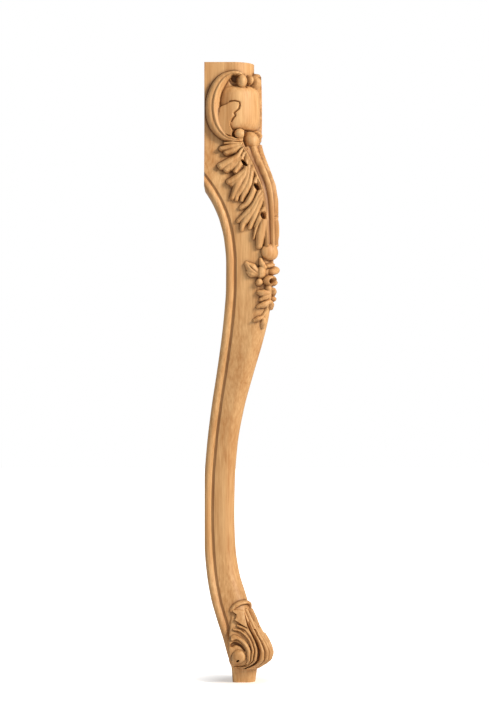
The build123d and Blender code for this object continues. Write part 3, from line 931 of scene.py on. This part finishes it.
# %% The eye and the grooves
TOE_GROOVES = [
    ([(40.0, 46.0), (34.0, 48.4), (28.6, 46.0), (26.2, 40.5)], [2.4, 2.8, 2.2, 1.4], -3.4),
    (
        [
            (3.5, 86.7), (5.2, 79.0), (6.2, 71.4), (6.8, 63.8), (7.2, 56.1), (8.2, 47.6), (9.4, 39.2),
            (9.9, 30.7), (10.4, 24.0), (14.0, 18.6),
        ],
        [0.9, 1.1, 1.4, 1.6, 1.9, 2.2, 2.4, 2.4, 2.2, 1.8],
        -3.4,
    ),
    (
        [(1.6, 64.0), (2.2, 54.0), (2.7, 44.0), (2.9, 34.0), (2.6, 26.0), (2.0, 19.0)],
        [0.7, 0.9, 1.1, 1.2, 1.2, 1.0],
        -0.6,
    ),
    ([(36.0, 21.5), (29.0, 17.4), (20.0, 17.0), (14.0, 17.2)], [1.0, 1.3, 1.3, 1.2], -2.0),
]
dome(toe, 33.6, 32.4, 8.6, 9.0, 6.2, 0.5)
pit(toe, 33.7, 28.6, 1.5, 1.5, 0.5)
for path, half_widths, floor in TOE_GROOVES:
    groove(toe, path, half_widths, floor)
print("Grooves on both faces:", 2 * len(TOE_GROOVES))

# %% The folded leaf, and rolling up the toe
FOLD = np.array(
    [
        (4.2, 86.4), (12.3, 87.2), (20.6, 86.4), (16.8, 83.5), (14.8, 81.6), (17.9, 77.6), (20.8, 75.4),
        (17.4, 73.2), (14.0, 70.0), (8.8, 66.0), (7.4, 72.0), (6.4, 79.0),
    ]
)
FOLD_HEIGHT, FOLD_EDGE, FOLD_STEP = 4.2, 0.9, 0.3
LAST_COLUMN_MARGIN = 0.5
fold_depth = inside_outline(FOLD, np.abs(toe.across), toe.up)
fold = FOLD_HEIGHT * smooth_step(fold_depth / FOLD_EDGE + FOLD_STEP)
toe.height = np.where(fold_depth > 0, np.maximum(toe.height, fold), toe.height)
on_the_face = np.abs(toe.across) <= toe_reach[:, None] + LAST_COLUMN_MARGIN
toe.height = np.where(on_the_face, toe.height, 0.0)
# The toe's cuts get painted shade in the same way.
toe_depths = cut_depths(toe_normals, toe)
scroll_foot = rolled_mesh("scroll_foot", toe_points, toe_normals, toe, toe_rows, toe_depths)
print("scroll_foot:", len(scroll_foot.data.polygons), "faces")

# %% [markdown]
# ## The wood
#
# The leg is sanded beech, unfinished: a pale, warm, even wood whose grain shows only as faint streaks along
# the leg. Its sheen is soft, because sanding leaves fine scratches and there is no lacquer. Two noise
# patterns are stretched along the grain. The finer one stands for beech's rays, which are under 1 mm wide.
# That is too fine to show in the render, so it is drawn 2.4 mm wide. The coarser one is the slow change of
# tone from one growth ring to the next, 17 mm wide. The depth that each vertex carries darkens the cuts with
# painted shade.

# %% Helpers for materials


def linear(code):
    """An sRGB hex colour as linear RGBA."""
    values = [int(code[i : i + 2], 16) / 255 for i in (0, 2, 4)]
    return [v / 12.92 if v <= 0.04045 else ((v + 0.055) / 1.055) ** 2.4 for v in values] + [1.0]


def add_node(material, kind, settings=None, inputs=None):
    """Adds one node, sets its properties and its inputs, and links the inputs that are given as outputs."""
    tree = material.node_tree
    node = tree.nodes.new(kind)
    for name, value in (settings or {}).items():
        setattr(node, name, value)
    for name, value in (inputs or {}).items():
        if isinstance(value, bpy.types.NodeSocket):
            tree.links.new(value, node.inputs[name])
        else:
            node.inputs[name].default_value = value
    return node


def empty_nodes(data_block):
    """Switches a material or a world to nodes and removes the ones that it starts with."""
    data_block.use_nodes = True
    data_block.node_tree.nodes.clear()


print("Mid grey in linear light:", round(linear("808080")[0], 3))

# %% The grain
# 42 streaks or 6 bands go into 100 mm across the grain. Along it, both are 20 times as long.
STREAK_WIDTH, BAND_WIDTH = 100 / 42, 100 / 6
GRAIN_STRETCH = 0.05
STREAK_DETAIL, STREAK_ROUGHNESS, BAND_DETAIL = 6.0, 0.6, 3.0
BAND_SHARE = 0.45
beech = bpy.data.materials.new("sanded_beech")
empty_nodes(beech)
place = add_node(beech, "ShaderNodeTexCoord")
stretch = add_node(
    beech,
    "ShaderNodeMapping",
    inputs={"Vector": place.outputs["Object"], "Scale": (1.0, 1.0, GRAIN_STRETCH)},
)
grain = stretch.outputs["Vector"]
streaks = add_node(
    beech,
    "ShaderNodeTexNoise",
    inputs={
        "Vector": grain,
        "Scale": 1 / (STREAK_WIDTH * MM),
        "Detail": STREAK_DETAIL,
        "Roughness": STREAK_ROUGHNESS,
    },
)
bands = add_node(
    beech,
    "ShaderNodeTexNoise",
    inputs={"Vector": grain, "Scale": 1 / (BAND_WIDTH * MM), "Detail": BAND_DETAIL},
)
tone = add_node(
    beech,
    "ShaderNodeMix",
    {"data_type": "FLOAT"},
    {"Factor": BAND_SHARE, "A": streaks.outputs["Fac"], "B": bands.outputs["Fac"]},
)
print("Streaks per metre across the grain:", round(1 / (STREAK_WIDTH * MM)))

# %% The colours
# The third colour is painted shade: the wood is multiplied by it in the cuts.
DARK_GRAIN, PALE_GRAIN, PAINTED_SHADE_TINT = "b8824b", "e0b57f", "937a5a"
RAMP_START, RAMP_END = 0.35, 0.65
ramp = add_node(beech, "ShaderNodeValToRGB", inputs={"Fac": tone.outputs["Result"]})
for element, position, colour in zip(
    ramp.color_ramp.elements, (RAMP_START, RAMP_END), (DARK_GRAIN, PALE_GRAIN)
):
    element.position = position
    element.color = linear(colour)
# The depth that each vertex carries sets how much painted shade darkens the wood there.
cuts = add_node(beech, "ShaderNodeAttribute", {"attribute_name": "cut"})
# The colour mix names its sockets by number: 0 is the factor, 6 and 7 are the two colours.
painted_shade_mix = add_node(
    beech,
    "ShaderNodeMix",
    {"data_type": "RGBA", "blend_type": "MULTIPLY"},
    {0: cuts.outputs["Fac"], 6: ramp.outputs["Color"], 7: linear(PAINTED_SHADE_TINT)},
)
print("Wood from", DARK_GRAIN, "to", PALE_GRAIN, "and darker in the cuts")

# %% The surface, and dressing both pieces
PORE_DEPTH = 0.6
PORE_STRENGTH = 0.12
WOOD_ROUGHNESS, WOOD_IOR = 0.55, 1.5
bump = add_node(
    beech,
    "ShaderNodeBump",
    inputs={"Height": streaks.outputs["Fac"], "Strength": PORE_STRENGTH, "Distance": PORE_DEPTH * MM},
)
shader = add_node(
    beech,
    "ShaderNodeBsdfPrincipled",
    inputs={
        "Base Color": painted_shade_mix.outputs[2],
        "Roughness": WOOD_ROUGHNESS,
        "IOR": WOOD_IOR,
        "Normal": bump.outputs["Normal"],
    },
)
add_node(beech, "ShaderNodeOutputMaterial", inputs={"Surface": shader.outputs["BSDF"]})
for piece in (carved_leg, scroll_foot):
    piece.data.materials.append(beech)
    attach(piece, "root")
    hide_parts("leg")
print("Pieces in beech:", carved_leg.name, "and", scroll_foot.name)

# %% [markdown]
# ## The floor
#
# The photograph shows the leg on white, with a short shadow at its foot. The floor is matte white paper. To
# the camera alone it also glows, faintly near the foot, where the shadow is to be seen, and fully a few
# centimetres away, so the rest of it is as white as the backdrop. The glow lights nothing.

# %% The floor's sheet
FLOOR_HALF_SIZE = 6.0
bm = bmesh.new()
bmesh.ops.create_grid(bm, x_segments=1, y_segments=1, size=FLOOR_HALF_SIZE)
floor_mesh = bpy.data.meshes.new("floor")
bm.to_mesh(floor_mesh)
bm.free()
floor = bpy.data.objects.new("floor", floor_mesh)
bpy.context.scene.collection.objects.link(floor)
print("The floor is", 2 * FLOOR_HALF_SIZE, "m wide")

# %% The paper on it
FADE_START, FADE_END = 0.025, 0.085
GLOW_AT_FOOT = 0.34
WHITE, BLACK = (1, 1, 1, 1), (0, 0, 0, 1)
paper = bpy.data.materials.new("white_paper")
empty_nodes(paper)
matte = add_node(paper, "ShaderNodeBsdfDiffuse", inputs={"Color": linear("f4f4f4")})
spot = add_node(paper, "ShaderNodeTexCoord")
away = add_node(paper, "ShaderNodeVectorMath", {"operation": "LENGTH"}, {0: spot.outputs["Object"]})
fade = add_node(
    paper,
    "ShaderNodeMapRange",
    inputs={
        "Value": away.outputs["Value"],
        "From Min": FADE_START,
        "From Max": FADE_END,
        "To Min": GLOW_AT_FOOT,
        "To Max": 1.0,
    },
)
glow = add_node(paper, "ShaderNodeEmission", inputs={"Color": WHITE, "Strength": fade.outputs["Result"]})
dark = add_node(paper, "ShaderNodeEmission", inputs={"Color": BLACK, "Strength": 0.0})
seen = add_node(paper, "ShaderNodeLightPath").outputs["Is Camera Ray"]
lift = add_node(paper, "ShaderNodeMixShader", inputs={"Fac": seen, 1: dark.outputs[0], 2: glow.outputs[0]})
lit = add_node(paper, "ShaderNodeAddShader", inputs={0: matte.outputs[0], 1: lift.outputs[0]})
add_node(paper, "ShaderNodeOutputMaterial", inputs={"Surface": lit.outputs[0]})
floor.data.materials.append(paper)
print("The floor is white from", FADE_END, "m away from the foot")

# %% [markdown]
# ## The light
#
# The photograph's light comes from the right and from above, and it is soft: a lamp of 80 cm nearly three
# metres away. A weak, wide lamp on the left keeps the shaded side warm. The world gives an even light, and
# only the camera sees it as pure white.

# %% The backdrop
AMBIENT = 0.3
world = bpy.data.worlds.new("studio")
bpy.context.scene.world = world
empty_nodes(world)
ambient = add_node(world, "ShaderNodeBackground", inputs={"Color": WHITE, "Strength": AMBIENT})
backdrop = add_node(world, "ShaderNodeBackground", inputs={"Color": WHITE, "Strength": 1.0})
ray = add_node(world, "ShaderNodeLightPath").outputs["Is Camera Ray"]
pick = add_node(
    world, "ShaderNodeMixShader", inputs={"Fac": ray, 1: ambient.outputs[0], 2: backdrop.outputs[0]}
)
add_node(world, "ShaderNodeOutputWorld", inputs={"Surface": pick.outputs[0]})
print("The backdrop lights the leg at", AMBIENT)

# %% The lamps
LIT_POINT = (0, 0, 0.4)


def soft_box(name, place, size, watts, colour):
    """A square lamp at a place, pointed at the middle of the leg."""
    data = bpy.data.lights.new(name, "AREA")
    data.shape = "SQUARE"
    data.size = size
    data.energy = watts
    data.color = linear(colour)[:3]
    lamp = bpy.data.objects.new(name, data)
    lamp.location = place
    lamp.rotation_euler = (Vector(LIT_POINT) - Vector(place)).to_track_quat("-Z", "Y").to_euler()
    bpy.context.scene.collection.objects.link(lamp)
    print(name, "lamp:", watts, "W")


soft_box("key", (1.9, -1.35, 1.8), 0.8, 78.0, "fff3e2")
soft_box("fill", (-1.2, -2.0, 1.0), 1.4, 3.5, "fff6ea")
